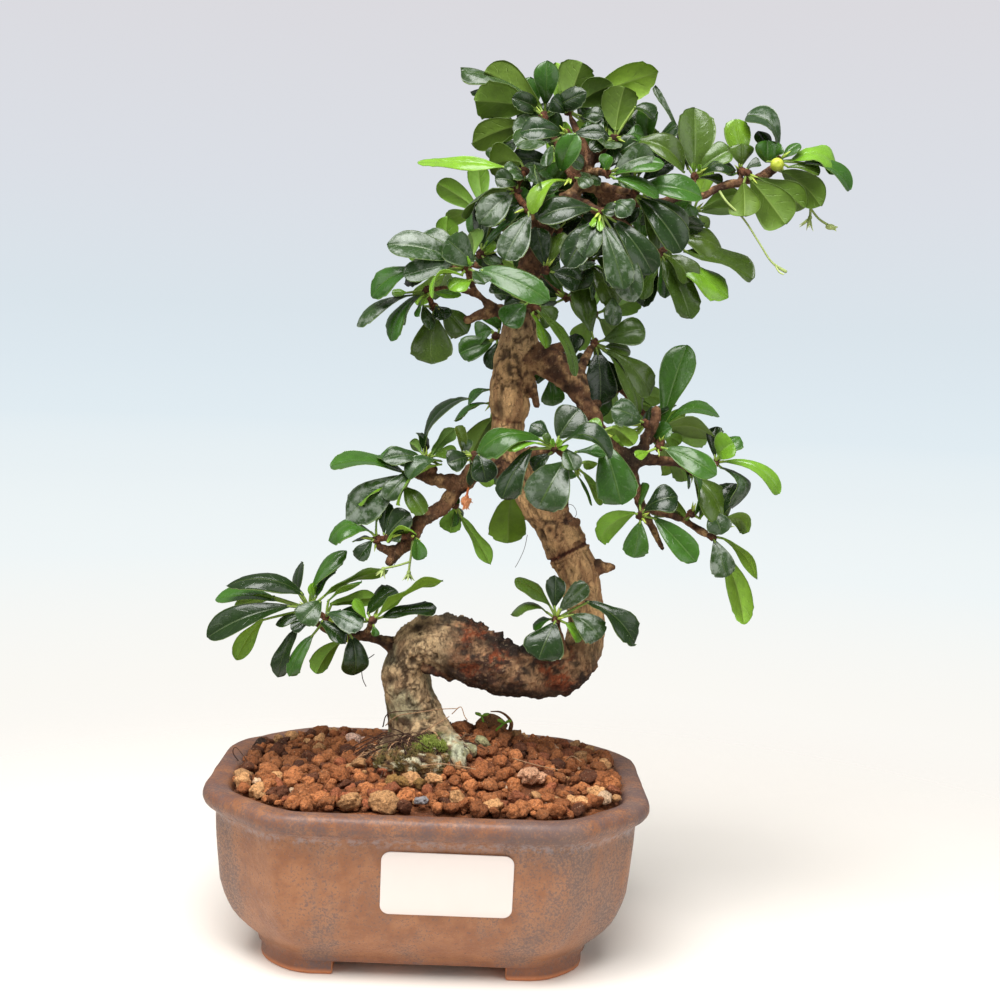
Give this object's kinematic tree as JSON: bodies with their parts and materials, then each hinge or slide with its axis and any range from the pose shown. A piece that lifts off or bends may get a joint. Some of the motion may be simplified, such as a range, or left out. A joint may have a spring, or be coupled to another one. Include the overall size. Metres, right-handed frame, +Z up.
{
  "type": "potted bonsai tree",
  "caption": "Small Fukien tea bonsai with a thick S-curved trunk, side branches and glossy leaf whorls, rooted in mounded soil in a shallow eight-sided glazed pot with a blank tag",
  "frame": {"origin": "the middle of the whole object's footprint, at the height of the pot's feet", "axes": "+Z up along the height, +X along the long side of the pot to the right as seen from the front, -Y towards the front wall that carries the tag"},
  "size_m": [0.2128, 0.117, 0.3065],
  "materials": {
    "leaf": "glossy dark green leaf with a lighter matt underside and a pale midrib",
    "bark": "rough tan to reddish-brown bark, knobbly, dark in the cracks",
    "glaze": "semi-matt copper-brown glaze flecked with blue-grey, darker at the rim, unglazed at the feet",
    "soil": "loose dark brown granules and crumbs with a few paler ones",
    "moss": "bright green matt moss",
    "chip_white": "matt pinkish-white stone",
    "pebble_grey": "matt grey stone",
    "chip_tan": "matt tan stone",
    "tag": "blank off-white tag with a faint sheen",
    "green_stem": "pale green matt stalk",
    "seedling": "fresh green matt seedling",
    "fruit": "yellow-green berry with a soft sheen",
    "withered": "dry orange petals",
    "dry_leaf": "curled dry brown leaf",
    "net": "black plastic net"
  },
  "bodies": {
    "root": {"bare_stalk": "green_stem", "blank_tag": "tag", "calyx_left": "green_stem", "calyx_right": "green_stem", "chip_tan": "chip_tan", "chip_white": "chip_white", "drain_net_left": "net", "drain_net_right": "net", "fallen_leaf": "dry_leaf", "fruit": "fruit", "moss": "moss", "pebble_grey": "pebble_grey", "pot": "glaze", "seedling": "seedling", "shoot_back_left": "leaf", "shoot_back_middle": "leaf", "shoot_back_right": "leaf", "shoot_back_right_low": "leaf", "shoot_back_top": "leaf", "shoot_centre_big": "leaf", "shoot_centre_front": "leaf", "shoot_crown_back_right": "leaf", "shoot_crown_front": "leaf", "shoot_crown_front_left": "leaf", "shoot_crown_inner": "leaf", "shoot_crown_left": "leaf", "shoot_crown_left_back": "leaf", "shoot_crown_left_low": "leaf", "shoot_crown_left_upper": "leaf", "shoot_crown_mid": "leaf", "shoot_crown_right_front": "leaf", "shoot_crown_right_low": "leaf", "shoot_far_right_inner": "leaf", "shoot_far_right_mid": "leaf", "shoot_far_right_tip": "leaf", "shoot_fork_back": "leaf", "shoot_left_near": "leaf", "shoot_left_spray": "leaf", "shoot_left_tip": "leaf", "shoot_left_under": "leaf", "shoot_low_left_inner": "leaf", "shoot_low_left_outer": "leaf", "shoot_low_mid": "leaf", "shoot_right_hang": "leaf", "shoot_right_inner": "leaf", "shoot_right_low": "leaf", "shoot_right_low_inner": "leaf", "shoot_right_mid": "leaf", "shoot_right_tip": "leaf", "shoot_right_upper": "leaf", "shoot_top_front": "leaf", "shoot_top_front_right": "leaf", "shoot_top_left": "leaf", "shoot_top_mid": "leaf", "shoot_top_right": "leaf", "shoot_trunk_back": "leaf", "shoot_trunk_left_back": "leaf", "soil": "soil", "tree": "bark", "withered_flower": "withered"}
  },
  "joints": []
}
